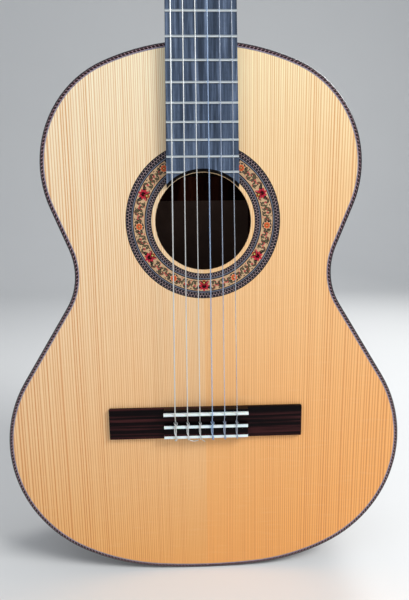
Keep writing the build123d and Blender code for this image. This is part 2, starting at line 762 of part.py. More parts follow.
def worm(y):
    """The worm on its shaft, which runs up into the button."""
    # A ridge stands half a pitch from the roller's axis on the side that faces the gear.
    bottom = -AXLE_DEPTH + PITCH / 4 - 2 * PITCH
    ridge_height = WORM_OUT - WORM_CORE
    sunk = 0.15
    shaft_start = -2.0
    shaft_end = -BUTTON_START - SHAFT_IN_BUTTON
    downward = (Align.CENTER, Align.CENTER, Align.MAX)
    with BuildPart() as screw:
        with Locations((0, 0, shaft_start)):
            Cylinder(SHAFT_RADIUS, shaft_start - shaft_end, align=downward)
        with Locations((0, 0, -AXLE_DEPTH)):
            Cylinder(WORM_CORE, 2 * WORM_HALF_LENGTH)
        with BuildLine():
            coil = Helix(pitch=PITCH, height=WORM_TURNS * PITCH, radius=WORM_CORE, center=(0, 0, bottom))
        with BuildSketch(Plane(coil @ 0, x_dir=(1, 0, 0), z_dir=coil % 0)):
            with BuildLine():
                Polyline(
                    (-sunk, -WORM_ROOT_HALF),
                    (0, -WORM_ROOT_HALF),
                    (ridge_height, -WORM_TIP_HALF),
                    (ridge_height, WORM_TIP_HALF),
                    (0, WORM_ROOT_HALF),
                    (-sunk, WORM_ROOT_HALF),
                    close=True,
                )
            make_face()
        sweep(path=coil, is_frenet=True)
        for end, away in ((WORM_HALF_LENGTH, Align.MIN), (-WORM_HALF_LENGTH, Align.MAX)):
            with Locations((0, 0, -AXLE_DEPTH + end)):
                Cylinder(2 * WORM_OUT, 4, align=(Align.CENTER, Align.CENTER, away), mode=Mode.SUBTRACT)
                Cylinder(SHAFT_RADIUS, 4, align=(Align.CENTER, Align.CENTER, away))
    return screw.part.moved(Location((WORM_X, y - CENTRES, 0)))


def button(y):
    """An oval tuning button with a collar, bored for the shaft."""
    downward = (Align.CENTER, Align.CENTER, Align.MAX)
    half_length = BUTTON_LENGTH / 2 - 1
    with BuildPart() as knob:
        with BuildSketch(Plane.YZ.offset(-BUTTON_THICK / 2)):
            with Locations((0, -BUTTON_START - BUTTON_LENGTH / 2 - 1)):
                Ellipse(BUTTON_HALF_WIDTH, half_length)
        extrude(amount=BUTTON_THICK)
        fillet(knob.edges().filter_by(GeomType.ELLIPSE), BUTTON_ROUND)
        with Locations((0, 0, -BUTTON_START)):
            Cylinder(COLLAR_RADIUS, COLLAR_LENGTH, align=downward)
            Cylinder(SHAFT_RADIUS + 0.03, SHAFT_IN_BUTTON + 0.1, align=downward, mode=Mode.SUBTRACT)
    return knob.part.moved(Location((WORM_X, y - CENTRES, 0)))


def plate_screw_group(side):
    """Four wood screws through one plate."""
    head_start = HEAD_HALF + PLATE_THICK + 0.02
    head_thick = 1.1
    with BuildPart() as screws:
        for y in SCREW_Y:
            disc(head_start, y, SCREW_HEAD, head_thick)
        fillet(screws.edges().group_by(Axis.X)[-1], 0.6)
        for y in SCREW_Y:
            with Locations((head_start + head_thick, y, -AXLE_DEPTH)):
                Box(1.0, 0.6, 6, mode=Mode.SUBTRACT)
            disc(head_start - PLATE_THICK, y, SCREW_SHANK, PLATE_THICK)
    return screws.part if side > 0 else screws.part.mirror(Plane.YZ)


def tuners():
    """Both sets of three. String 1 winds on the treble roller nearest the nut, string 6 on the bass one."""
    save("tuner_plate_treble", plate(1), HEAD.location)
    save("tuner_plate_bass", plate(-1), HEAD.location)
    screws = [*plate_screw_group(1).solids(), *plate_screw_group(-1).solids()]
    save("plate_screws", Compound(screws), HEAD.location)
    makers = {"roller": roller, "gear": gear, "worm": worm, "button": button}
    for order, y in enumerate(TUNER_Y):
        for kind, make in makers.items():
            piece = make(y)
            save(f"tuner_{kind}_{order + 1}", piece, HEAD.location)
            save(f"tuner_{kind}_{6 - order}", piece.mirror(Plane.YZ), HEAD.location)


# ---- Strings ----


def saddle_bend(diameter):
    """Radius of a string's centreline round the saddle's crown."""
    return SADDLE_CROWN + diameter / 2 + STRING_GAP


def string_route(index, diameter):
    """Corners of a string's centreline: roller, nut, saddle, through the tie block, then back over its top."""
    r = diameter / 2
    side = -1 if index < 3 else 1
    order = min(index, 5 - index)
    wound = ROLLER_RADIUS + r + STRING_GAP
    roller_y = TUNER_Y[order]
    roller_x = side * ROLLER_PLACES[order]
    bend_z = NUT_BACK + 1.3
    bend = HEAD.to_local_coords(Vector(0, -FACE - NUT_STRING - r, bend_z))
    # The string leaves the roller on its front side, tangent to it.
    fall = (bend.Z + AXLE_DEPTH - wound) / (roller_y - bend.Y)
    leave = HEAD.from_local_coords((roller_x, roller_y + wound * fall, -AXLE_DEPTH + wound))
    crown = saddle_bend(diameter) * tan(radians(SADDLE_DROP) / 2)
    rear = LINE_Z + TIE_REAR
    x = string_x(index, LINE_Z)
    lift = TIE_TOP + TIE_LIFT + r
    turn_back = rear - r - 0.9
    return [
        leave,
        Vector(string_x(index, bend_z), -FACE - NUT_STRING - r, bend_z),
        Vector(x, -FACE - SADDLE_TOP - r - STRING_GAP, LINE_Z + SADDLE_AT - SADDLE_THICK / 2 + SADDLE_CROWN - crown),
        Vector(x, -FACE - TIE_HOLE_HEIGHT, LINE_Z + TIE_FRONT + 0.8),
        Vector(x, -FACE - TIE_HOLE_HEIGHT, turn_back),
        Vector(x + 0.3, -FACE - lift, turn_back),
        Vector(x + 0.5, -FACE - lift, LINE_Z + TIE_FRONT),
    ]


def strings():
    for index, (number, diameter) in enumerate(STRINGS):
        route = string_route(index, diameter)
        with BuildPart() as cord:
            with BuildLine() as path:
                FilletPolyline(*route, radius=[4, saddle_bend(diameter), 2, 0.85, 0.85])
            with BuildSketch(Plane(path.line @ 0, z_dir=path.line % 0)):
                Circle(diameter / 2)
            sweep(path=path.line)
        save(f"string_{number}", cord.part)


soundboard()
ring_round_hole("rosette", ROSETTE_IN, ROSETTE_OUT, 0, ROSETTE_DEPTH)
ring_round_hole("soundhole_patch", HOLE_RADIUS, HOLE_RADIUS + 16, TOP_THICK, 1.8)
edge_ring("top_binding", 0.0, BINDING, BINDING_DEPTH, EDGE_ROUND)
edge_ring("top_purfling", BINDING, BINDING + PURFLING_WIDTH, PURFLING_DEPTH)
ribs()
back()
back_binding()
blocks()
linings()
top_braces()
back_braces()
label()
neck()
fingerboard()
frets()
nut()
bridge()
head()
tuners()
strings()
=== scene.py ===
"""Looks of the classical guitar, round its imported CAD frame.

Blender works in metres. A name that ends in _mm or _MM holds millimetres, and so do the face coordinates
(across, up) that the flat inlays are drawn in: across is X, up is Z, and lift is the height in front of the
soundboard.
"""

from math import asin, cos, exp, hypot, pi, radians, sin, tau

import bmesh
import bpy
from mathutils import Matrix, Vector


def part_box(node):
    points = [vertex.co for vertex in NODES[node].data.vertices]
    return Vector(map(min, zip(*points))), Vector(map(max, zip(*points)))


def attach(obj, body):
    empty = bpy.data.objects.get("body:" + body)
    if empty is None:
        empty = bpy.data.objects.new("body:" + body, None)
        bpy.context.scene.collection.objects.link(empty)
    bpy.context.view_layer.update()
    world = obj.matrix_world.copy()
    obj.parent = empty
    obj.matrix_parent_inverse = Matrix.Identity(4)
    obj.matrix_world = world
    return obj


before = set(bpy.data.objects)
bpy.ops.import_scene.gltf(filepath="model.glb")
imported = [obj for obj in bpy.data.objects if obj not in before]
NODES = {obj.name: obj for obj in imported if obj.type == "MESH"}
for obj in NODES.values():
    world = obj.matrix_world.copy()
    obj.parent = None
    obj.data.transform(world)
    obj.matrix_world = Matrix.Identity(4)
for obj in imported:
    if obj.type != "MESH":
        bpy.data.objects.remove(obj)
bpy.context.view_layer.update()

MM = 0.001


def middle(node):
    """Centre of a CAD node's box."""
    low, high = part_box(node)
    return (low + high) / 2


# Places on the frame
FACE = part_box("soundboard")[0].y
HOLE = middle("rosette")
SADDLE_Z = middle("saddle").z
TIE_REAR_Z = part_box("tie_block_strips")[0].z
TIE_FRONT_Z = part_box("tie_block_strips")[1].z
BRIDGE_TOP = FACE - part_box("tie_block_strips")[0].y
BOARD_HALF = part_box("fingerboard")[1].x
HOLE_MM = (HOLE.x / MM, HOLE.z / MM)

# ---- Node materials ----

SOCKETS = {
    "roughness": "Roughness",
    "metallic": "Metallic",
    "specular": "Specular IOR Level",
    "coat": "Coat Weight",
    "coat_roughness": "Coat Roughness",
    "transmission": "Transmission Weight",
    "ior": "IOR",
    "anisotropic": "Anisotropic",
    "subsurface": "Subsurface Weight",
    "subsurface_scale": "Subsurface Scale",
}


class Shader:
    """One node material.

    Each method adds a node and returns its output, and an input may be a socket or a number.
    """

    def __init__(self, name, **constants):
        self.material = bpy.data.materials.new(name)
        self.material.use_nodes = True
        self.tree = self.material.node_tree
        self.surface = self.tree.nodes["Principled BSDF"]
        for key, value in constants.items():
            self.surface.inputs[SOCKETS[key]].default_value = value
        self.place = self.add("TexCoord").outputs["Object"]

    def add(self, kind, **settings):
        node = self.tree.nodes.new("ShaderNode" + kind)
        for key, value in settings.items():
            setattr(node, key, value)
        return node

    def feed(self, socket, value):
        if isinstance(value, bpy.types.NodeSocket):
            self.tree.links.new(value, socket)
        elif hasattr(value, "__len__") and socket.type == "RGBA":
            socket.default_value = (*value[:3], 1.0)
        else:
            socket.default_value = value

    def math(self, operation, *values, clamp=False):
        node = self.add("Math", operation=operation, use_clamp=clamp)
        for socket, value in zip(node.inputs, values):
            self.feed(socket, value)
        return node.outputs[0]

    def scaled(self, x, y, z):
        node = self.add("VectorMath", operation="MULTIPLY")
        self.feed(node.inputs[0], self.place)
        node.inputs[1].default_value = (x, y, z)
        return node.outputs[0]

    def split(self):
        node = self.add("SeparateXYZ")
        self.feed(node.inputs[0], self.place)
        return node.outputs

    def normal(self):
        node = self.add("SeparateXYZ")
        self.feed(node.inputs[0], self.add("NewGeometry").outputs["Normal"])
        return node.outputs

    def noise(self, vector, scale=1.0, detail=2.0, roughness=0.5, distortion=0.0):
        node = self.add("TexNoise")
        self.feed(node.inputs["Vector"], vector)
        node.inputs["Scale"].default_value = scale
        node.inputs["Detail"].default_value = detail
        node.inputs["Roughness"].default_value = roughness
        node.inputs["Distortion"].default_value = distortion
        return node.outputs[0]

    def noise_line(self, value, scale=1.0, detail=1.0):
        node = self.add("TexNoise", noise_dimensions="1D")
        self.feed(node.inputs["W"], value)
        node.inputs["Scale"].default_value = scale
        node.inputs["Detail"].default_value = detail
        return node.outputs[0]

    def ramp(self, factor, *stops, mode="LINEAR"):
        node = self.add("ValToRGB")
        node.color_ramp.interpolation = mode
        elements = node.color_ramp.elements
        while len(elements) < len(stops):
            elements.new(0.5)
        for element, (position, colour) in zip(elements, stops):
            element.position = position
            element.color = (*colour, 1.0) if hasattr(colour, "__len__") else (colour, colour, colour, 1.0)
        self.feed(node.inputs[0], factor)
        return node.outputs[0]

    def mix(self, factor, a, b, blend="MIX"):
        node = self.add("Mix", data_type="RGBA", blend_type=blend)
        self.feed(node.inputs[0], factor)
        self.feed(node.inputs[6], a)
        self.feed(node.inputs[7], b)
        return node.outputs[2]

    def remap(self, value, low, high, to_low=0.0, to_high=1.0):
        node = self.add("MapRange")
        for socket, number in zip(node.inputs, (value, low, high, to_low, to_high)):
            self.feed(socket, number)
        return node.outputs[0]

    def finish(self, colour, roughness=None, bump=None, distance_mm=0.1, strength=1.0):
        """Joins colour, roughness and bump height to the surface, and returns the material."""
        self.feed(self.surface.inputs["Base Color"], colour)
        if roughness is not None:
            self.feed(self.surface.inputs["Roughness"], roughness)
        if bump is not None:
            node = self.add("Bump")
            self.feed(node.inputs["Height"], bump)
            node.inputs["Distance"].default_value = distance_mm * MM
            node.inputs["Strength"].default_value = strength
            self.feed(self.surface.inputs["Normal"], node.outputs[0])
        return self.material


def tone(red, green, blue):
    """Scene colour of an 8-bit display colour."""

    def linear(value):
        share = value / 255
        return share / 12.92 if share <= 0.04045 else ((share + 0.055) / 1.055) ** 2.4

    return (linear(red), linear(green), linear(blue))


FIRST_RING = 0.0013  # width of the growth ring at the centre joint
RING_GROWTH = 7.0  # how much wider the rings are, in first rings, per metre away from the joint
HALF_WIDTH = 0.19  # the tones change this far to each side of the joint
TONE_AND_PAINTED_LIGHT_HEIGHT = 0.47  # and up to this height, where the tone and the painted light from above are palest


def spruce(name, gloss=0.4):
    """Bookmatched softwood: fine rings at the joint, wide ones at the edges, and silk across the grain.

    The bass half is paler than the treble half, and both are paler higher up, partly in the wood's tone and
    partly as painted light falling from above.
    """
    g = Shader(name, coat=gloss, coat_roughness=0.16, specular=0.2)
    x, _, z = g.split()
    wander = g.noise(g.scaled(9, 9, 1.6), detail=2)
    across = g.math("MULTIPLY_ADD", wander, 0.006, g.math("ABSOLUTE", x))
    grown = g.math("LOGARITHM", g.math("MULTIPLY_ADD", across, RING_GROWTH, 1.0), exp(1))
    count = g.math("MULTIPLY", grown, 1 / (RING_GROWTH * FIRST_RING))
    count = g.math("MULTIPLY_ADD", g.noise_line(count, 0.45, 2), 0.9, count)
    ring = g.math("FRACT", count)
    late = g.ramp(ring, (0.0, 0.3), (0.2, 0.0), (0.55, 0.1), (0.78, 1.0), (1.0, 0.8))
    weight = g.remap(g.noise_line(count, 0.23, 2), 0.32, 0.68, 0.65, 1.0)
    late = g.math("MULTIPLY", late, g.math("MULTIPLY", weight, g.remap(across, 0.0, 0.12, 0.65, 1.0)))
    fibre = g.noise(g.scaled(1300, 1300, 22), detail=3, roughness=0.6)
    silk = g.noise(g.scaled(40, 40, 420), detail=2)
    patch = g.noise(g.scaled(6, 6, 2.6), detail=3)
    # painted light: the front grows paler and less orange higher up, partly the wood's tone and partly light
    # from above painted in
    rise = g.remap(z, 0.0, TONE_AND_PAINTED_LIGHT_HEIGHT)
    bass = g.mix(rise, tone(235, 177, 102), tone(253, 249, 221))
    treble = g.mix(g.math("POWER", rise, 2.1), tone(246, 176, 97), tone(251, 236, 188))
    slow_change = g.remap(x, -HALF_WIDTH, HALF_WIDTH, 0.0, 0.6)
    side = g.math("MULTIPLY_ADD", g.math("GREATER_THAN", x, 0.0), 0.4, slow_change)
    body = g.mix(side, bass, treble)
    body = g.mix(g.remap(patch, 0.3, 0.75, 0.0, 0.22), body, tone(236, 196, 150), "MULTIPLY")
    # the late wood also pales higher up, with the same painted light from above
    grained = g.mix(late, body, g.mix(rise, tone(198, 118, 54), tone(212, 150, 92)))
    grained = g.mix(g.remap(fibre, 0.3, 0.7, 0.0, 0.25), grained, tone(216, 152, 88))
    grained = g.mix(g.remap(silk, 0.55, 0.8, 0.0, 0.06), grained, tone(252, 226, 184))
    rough = g.remap(fibre, 0.2, 0.8, 0.42, 0.55)
    height = g.math("MULTIPLY_ADD", fibre, 0.25, g.math("MULTIPLY", late, 0.5))
    return g.finish(grained, rough, height, 0.03, 0.25)


def streaked(name, grain, dark, mid, light, streak=60.0, pore=0.5, along=3.0, ranges=(0.36, 0.68), edge=None,
             raw_inside=False, **surface):
    """Hardwood with long streaks and pores. grain names the axes that the fibres run along.

    With edge, the sides and ends of the piece are that colour, and only the faces that look to the front keep
    the streaked colours, which on the fingerboard are a painted blue-grey sheen.
    With raw_inside, the faces that look to the front have no lacquer.
    """
    g = Shader(name, **surface)

    def stretched(cross_scale, long_scale):
        return g.scaled(*[long_scale if axis in grain else cross_scale for axis in "XYZ"])

    broad = g.noise(stretched(streak, along), detail=4, roughness=0.55, distortion=0.35)
    fine = g.noise(stretched(streak * 9, along * 5), detail=3, roughness=0.6)
    colour = g.ramp(broad, (ranges[0], dark), ((ranges[0] + ranges[1]) / 2, mid), (ranges[1], light))
    colour = g.mix(g.remap(fine, 0.3, 0.7, 0.0, 0.5), colour, dark)
    pores = g.ramp(g.noise(stretched(streak * 22, along * 14), detail=1), (0.60, 0.0), (0.70, 1.0))
    colour = g.mix(g.math("MULTIPLY", pores, pore), colour, [part * 0.35 for part in dark])
    if edge:
        # faces that look to the front keep the streaked colours (on the fingerboard a painted sheen); the
        # rest take the edge colour
        colour = g.mix(g.remap(g.normal()[1], -0.95, -0.8), colour, edge)
    if raw_inside:
        for key in ("coat", "specular"):
            g.feed(g.surface.inputs[SOCKETS[key]], g.remap(g.normal()[1], -0.4, 0.0, 0.0, surface[key]))
    base_rough = surface.get("roughness", 0.4)
    rough = g.remap(fine, 0.2, 0.8, base_rough * 0.85, base_rough * 1.2)
    height = g.math("SUBTRACT", g.math("MULTIPLY", fine, 0.35), pores)
    return g.finish(colour, rough, height, 0.05, 0.3)


def metal(name, colour, roughness, brush=(600, 600, 30), tint=0.35):
    """Metal with fine brush marks and a slight unevenness of tarnish."""
    g = Shader(name, metallic=1.0)
    marks = g.noise(g.scaled(*brush), detail=3, roughness=0.65)
    cloud = g.noise(g.scaled(90, 90, 90), detail=4)
    dull = [part * 0.55 for part in colour]
    shade = g.mix(g.remap(cloud, 0.35, 0.75, 0.0, tint), colour, dull)
    shade = g.mix(g.remap(marks, 0.3, 0.8, 0.0, 0.15), shade, dull)
    rough = g.remap(marks, 0.2, 0.8, roughness * 0.8, roughness * 1.25)
    return g.finish(shade, rough, marks, 0.01, 0.08)


def bone(name, light, shaded):
    """Polished bone: clouded between two tones, with faint lengthways flecks."""
    g = Shader(name, specular=0.5, coat=0.3, coat_roughness=0.15, subsurface=0.15, subsurface_scale=0.002)
    fleck = g.noise(g.scaled(60, 900, 900), detail=3, roughness=0.6)
    cloud = g.noise(g.scaled(70, 120, 120), detail=2)
    colour = g.mix(g.remap(cloud, 0.3, 0.7, 0.0, 0.7), light, shaded)
    colour = g.mix(g.remap(fleck, 0.55, 0.8, 0.0, 0.3), colour, tone(196, 186, 162))
    return g.finish(colour, g.remap(fleck, 0.2, 0.8, 0.26, 0.38), fleck, 0.02, 0.2)


def inlay_wood(name, colour, other, scale=900.0, roughness=0.4):
    """Dyed veneer for purflings and mosaic: a mottled colour with a trace of grain under the lacquer."""
    g = Shader(name, coat=0.3, coat_roughness=0.16, specular=0.15)
    grain = g.noise(g.scaled(scale, scale, scale * 0.35), detail=3, roughness=0.6)
    cloud = g.noise(g.scaled(160, 160, 160), detail=2)
    shade = g.mix(g.remap(grain, 0.3, 0.7), colour, other)
    shade = g.mix(g.remap(cloud, 0.35, 0.7, 0.0, 0.35), shade, [part * 0.6 for part in colour])
    return g.finish(shade, g.remap(grain, 0.2, 0.8, roughness * 0.85, roughness * 1.15), grain, 0.02, 0.15)


WINDING_PITCH = 0.00032


def wound_wire(name):
    """Silvered wire wound round the core: fine ridges along the string with painted shade in the grooves
    between them, dulled where fingers reach it.
    """
    g = Shader(name, metallic=0.75)
    _, y, z = g.split()
    along = g.math("SUBTRACT", z, g.math("MULTIPLY", y, 0.25))
    turns = g.math("SINE", g.math("MULTIPLY", along, tau / WINDING_PITCH))
    worn = g.noise(g.scaled(40, 40, 12), detail=3)
    colour = g.mix(g.remap(worn, 0.3, 0.75, 0.0, 0.5), tone(232, 236, 236), tone(190, 184, 172))
    # painted shade: the grooves between the turns are darkened towards grey
    colour = g.mix(g.remap(turns, -1.0, 0.2, 0.35, 0.0), colour, tone(120, 120, 122))
    return g.finish(colour, g.remap(worn, 0.2, 0.8, 0.34, 0.46), turns, 0.03, 0.25)


def nylon(name, tint):
    """Clear drawn nylon: it takes the light of what is behind it, with a cool cast."""
    g = Shader(name, transmission=0.6, ior=1.53, specular=0.6)
    drawn = g.noise(g.scaled(900, 900, 20), detail=2)
    colour = g.mix(g.remap(drawn, 0.3, 0.7), tint, [min(1.0, part * 1.15) for part in tint])
    return g.finish(colour, g.remap(drawn, 0.2, 0.8, 0.16, 0.26), drawn, 0.01, 0.2)


def pearl(name):
    """Pearly plastic of the buttons: soft swirls under gloss."""
    g = Shader(name, coat=0.8, coat_roughness=0.06, specular=0.6)
    swirl = g.noise(g.scaled(130, 130, 130), detail=3, distortion=2.2)
    colour = g.ramp(swirl, (0.3, tone(196, 186, 164)), (0.5, tone(236, 230, 214)), (0.7, tone(250, 248, 240)))
    return g.finish(colour, g.remap(swirl, 0.3, 0.7, 0.3, 0.16), swirl, 0.02, 0.15)


def paper(name):
    """Aged blank label."""
    g = Shader(name, specular=0.2)
    fibre = g.noise(g.scaled(700, 700, 700), detail=4, roughness=0.7)
    stain = g.noise(g.scaled(22, 22, 22), detail=3)
    colour = g.mix(g.remap(stain, 0.3, 0.75), tone(112, 88, 76), tone(84, 64, 55))
    colour = g.mix(g.remap(fibre, 0.4, 0.8, 0.0, 0.3), colour, tone(128, 104, 90))
    return g.finish(colour, g.remap(fibre, 0.2, 0.8, 0.75, 0.9), fibre, 0.05, 0.3)


CHEVRON_ACROSS = 420.0  # chevrons per metre across the strip
CHEVRON_ALONG = 300.0  # and along it
STRIP_CORE_HALF = 0.0017


def centre_strip(name):
    """Back strip: a core of light and dark chevrons between two dark lines."""
    g = Shader(name, coat=0.6, coat_roughness=0.1)
    x, _, z = g.split()
    across = g.math("ABSOLUTE", x)
    grain = g.noise(g.scaled(500, 500, 30), detail=3)
    chevron = g.math("MULTIPLY_ADD", across, CHEVRON_ACROSS, g.math("MULTIPLY", z, CHEVRON_ALONG))
    chevron = g.math("FRACT", chevron)
    core = g.mix(g.math("LESS_THAN", chevron, 0.5), tone(176, 120, 66), tone(66, 34, 22))
    core = g.mix(g.remap(grain, 0.3, 0.7, 0.0, 0.4), core, tone(110, 66, 38))
    border = g.math("GREATER_THAN", across, STRIP_CORE_HALF)
    return g.finish(g.mix(border, core, tone(20, 12, 12)), 0.35, grain, 0.02, 0.2)


# ---- Materials of the CAD nodes ----

GLOSS_LACQUER = {"coat": 0.9, "coat_roughness": 0.07, "specular": 0.4}
TOP = spruce("spruce_front")
BRACE = spruce("spruce_brace", gloss=0.0)
ROSEWOOD = (tone(26, 12, 12), tone(62, 30, 24), tone(104, 56, 40))
BACK = streaked("rosewood_back", "Z", *ROSEWOOD, 34, raw_inside=True, roughness=0.38, **GLOSS_LACQUER)
RIBS = streaked("rosewood_rib", "XZ", *ROSEWOOD, 70, roughness=0.38, **GLOSS_LACQUER)
EDGE = streaked(
    "binding_wood", "XZ", tone(8, 6, 9), tone(17, 11, 14), tone(32, 20, 23), 90, roughness=0.25,
    **GLOSS_LACQUER,
)
NECK = streaked(
    "neck_cedar", "Z", tone(96, 46, 26), tone(132, 70, 42), tone(162, 94, 58), 60, 0.45, roughness=0.42,
    coat=0.45, coat_roughness=0.2,
)
BLOCK = streaked(
    "block_cedar", "Z", tone(120, 72, 44), tone(158, 104, 66), tone(184, 130, 88), 60, 0.4, roughness=0.7
)
# Painted sheen: the blue-grey front tones paint a reflection of cool surroundings on the ebony; the
# near-black edge colour is the ebony's own
EBONY_PAINTED_SHEEN = streaked(
    "fingerboard_ebony_painted_sheen", "Z", tone(46, 57, 74), tone(78, 93, 116), tone(122, 138, 164), 400, 0.8, along=16.0,
    edge=tone(14, 12, 14), roughness=0.46, specular=0.25,
)
BRIDGE = streaked(
    "bridge_rosewood", "X", tone(5, 1, 3), tone(18, 6, 8), tone(66, 31, 32), 230, 0.7, ranges=(0.42, 0.6),
    roughness=0.42, specular=0.08,
)
# Painted shade: the soundhole patch gets near-black tones because it sits in the shade inside the body
PATCH_PAINTED_SHADE = streaked(
    "patch_painted_shade", "Z", tone(16, 10, 8), tone(30, 20, 16), tone(46, 32, 24), 60, 0.4, roughness=0.8,
    specular=0.05,
)
# Painted shade: the back braces inside the body are given dark tones for the shade there
BACK_BRACE_PAINTED_SHADE = streaked(
    "brace_painted_shade", "X", tone(30, 20, 14), tone(46, 32, 22), tone(64, 46, 32), 60, 0.4, roughness=0.8,
    specular=0.1,
)
HEAD = streaked("head_rosewood", "Z", *ROSEWOOD, 48, roughness=0.35, **GLOSS_LACQUER)
# Painted cool light: the nut, saddle and tie strips get a cyan-white tint, while the rollers keep bone's warm
# tone
BONE_PAINTED_COOL_LIGHT = bone("bone", tone(232, 246, 248), tone(218, 230, 230))
BARREL = bone("roller_bone", tone(240, 240, 228), tone(228, 212, 182))
# Painted cool light: the nickel is given a slight bluish tint
FRET_PAINTED_COOL_LIGHT = metal("fret_nickel", tone(232, 240, 242), 0.3, brush=(30, 300, 300), tint=0.12)
GOLD = metal("plate_brass", tone(226, 190, 116), 0.24, brush=(900, 60, 60))
BRASS = metal("gear_brass", tone(206, 164, 92), 0.34, brush=(500, 500, 500))
STEEL = metal("worm_steel", tone(196, 194, 190), 0.28, brush=(500, 500, 500))
PEARL = pearl("button_pearl")
WOUND = wound_wire("wound_wire")
NYLON = {
    3: nylon("nylon_third", tone(186, 210, 242)),
    2: nylon("nylon_second", tone(198, 210, 230)),
    1: nylon("nylon_first", tone(200, 208, 220)),
}
BLACK = inlay_wood("inlay_black", tone(10, 9, 14), tone(26, 25, 34))
DARK_BAND = inlay_wood("inlay_dark", tone(20, 18, 26), tone(40, 38, 50))

cad_materials = {
    "soundboard": TOP, "top_braces": BRACE, "back_braces": BACK_BRACE_PAINTED_SHADE, "rosette": BLACK, "back": BACK,
    "rib_bass": RIBS, "rib_treble": RIBS, "head_veneer": HEAD, "heel_cap": HEAD, "bridge": BRIDGE,
    "soundhole_patch": PATCH_PAINTED_SHADE, "neck": NECK, "headstock": NECK, "heel_block": BLOCK, "tail_block": BLOCK,
    "linings": BLOCK, "top_binding": EDGE, "back_binding": EDGE, "end_graft": EDGE,
    "back_strip": centre_strip("back_strip_marquetry"), "top_purfling": DARK_BAND, "fingerboard": EBONY_PAINTED_SHEEN,
    "frets": FRET_PAINTED_COOL_LIGHT, "nut": BONE_PAINTED_COOL_LIGHT, "saddle": BONE_PAINTED_COOL_LIGHT, "tie_block_strips": BONE_PAINTED_COOL_LIGHT, "label": paper("label_paper"),
    "tuner_plate_bass": GOLD, "tuner_plate_treble": GOLD, "plate_screws": STEEL,
}
for number in range(1, 7):
    cad_materials[f"tuner_roller_{number}"] = BARREL
    cad_materials[f"tuner_gear_{number}"] = BRASS
    cad_materials[f"tuner_worm_{number}"] = STEEL
    cad_materials[f"tuner_button_{number}"] = PEARL
    cad_materials[f"string_{number}"] = NYLON.get(number, WOUND)
for node, material in cad_materials.items():
    mesh = NODES[node].data
    mesh.materials.clear()
    mesh.materials.append(material)

# ---- Flat inlays on the face ----

INLAY_THICK_MM = 0.12


class Inlay:
    """A piece made of thin prisms that lie on the face, lift_mm in front of it."""

    def __init__(self, name, material, slot, lift_mm):
        self.name, self.material, self.slot_name, self.lift_mm = name, material, slot, lift_mm
        self.mesh = bmesh.new()

    def corner(self, point, depth_mm):
        height = self.lift_mm - depth_mm
        return self.mesh.verts.new((point[0] * MM, FACE - height * MM, point[1] * MM))

    def add(self, outline):
        """A prism over a closed outline."""
        front = [self.corner(point, 0) for point in outline]
        rear = [self.corner(point, INLAY_THICK_MM) for point in outline]
        self.mesh.faces.new(front)
        self.mesh.faces.new(rear[::-1])
        for k in range(len(front)):
            self.mesh.faces.new((front[k - 1], rear[k - 1], rear[k], front[k]))

    def strip(self, left, right, closed=False):
        """A band between two lines of equally many points."""
        rows = []
        for a, b in zip(left, right):
            places = ((a, 0), (b, 0), (b, INLAY_THICK_MM), (a, INLAY_THICK_MM))
            rows.append([self.corner(*place) for place in places])
        last = len(rows) if closed else len(rows) - 1
        for k in range(last):
            here, after = rows[k], rows[(k + 1) % len(rows)]
            for side in range(4):
                self.mesh.faces.new((here[side], here[side - 1], after[side - 1], after[side]))
        if not closed:
            self.mesh.faces.new(rows[0])
            self.mesh.faces.new(rows[-1][::-1])

    def build(self):
        bmesh.ops.recalc_face_normals(self.mesh, faces=self.mesh.faces)
        data = bpy.data.meshes.new(self.name)
        self.mesh.to_mesh(data)
        self.mesh.free()
        data.materials.append(self.material)
        piece = bpy.data.objects.new(self.name, data)
        bpy.context.scene.collection.objects.link(piece)
        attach(piece, "guitar")
        return piece


# ---- Edge of the front: rope purfling and its line ----

# Half outline from the tail, as (radius, turn in degrees) or a straight length, in millimetres
OUTLINE = [(538.0, 5.0), (200.0, 21.8), (123.8, 95.2), 82.2, (-58.8, 53.5), 38.5, (93.9, 88.8)]
BODY_TOP_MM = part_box("top_binding")[1].z / MM
BINDING_MM = 1.3
ROPE_MM = 1.95
LINE_MM = 0.85
BAND_STEP_MM = 4.0
ROPE_PERIOD_MM = 3.3
ROPE_PARTS = 8  # steps of the walk in one period
ROPE_BLOCK = 6  # parts that one dark block is long
ROPE_SLANT = 3  # parts that its inner side is ahead of its outer one
ROPE_MARGIN_MM = 0.1


def outline_walk(step_mm):
    """Points every step_mm along the right half of the outline, each with its inward normal."""
    walked = []
    point, heading = Vector((0.0, 0.0)), 0.0
    closing_turn = pi - sum(radians(s[1]) * (1 if s[0] > 0 else -1) for s in OUTLINE if isinstance(s, tuple))
    for item in [*OUTLINE, None]:
        if isinstance(item, tuple):
            bend = (1 if item[0] > 0 else -1) / abs(item[0])
            length = abs(item[0]) * radians(item[1])
        elif item is None:
            chord = Vector((0, BODY_TOP_MM)) - point
            length = chord.length / (sin(closing_turn / 2) / (closing_turn / 2))
            bend = closing_turn / length
        else:
            bend, length = 0.0, item
        parts = max(1, round(length / step_mm))
        for _ in range(parts):
            walked.append((point.copy(), Vector((-sin(heading), cos(heading)))))
            piece = length / parts
            mean = heading + bend * piece / 2
            point += Vector((cos(mean), sin(mean))) * piece
            heading += bend * piece
    walked.append((Vector((0.0, BODY_TOP_MM)), Vector((0.0, -1.0))))
    return walked


def edge_line(inset_mm, step_mm):
    """The whole outline at an inset, once round from the tail."""
    right = [point + normal * inset_mm for point, normal in outline_walk(step_mm)]
    left = [Vector((-point.x, point.y)) for point in reversed(right[1:-1])]
    return right + left


def edge_band(name, material, outer_mm, inner_mm, lift_mm):
    band = Inlay(name, material, "purfling", lift_mm)
    band.strip(edge_line(outer_mm, BAND_STEP_MM), edge_line(inner_mm, BAND_STEP_MM), closed=True)
    return band.build()


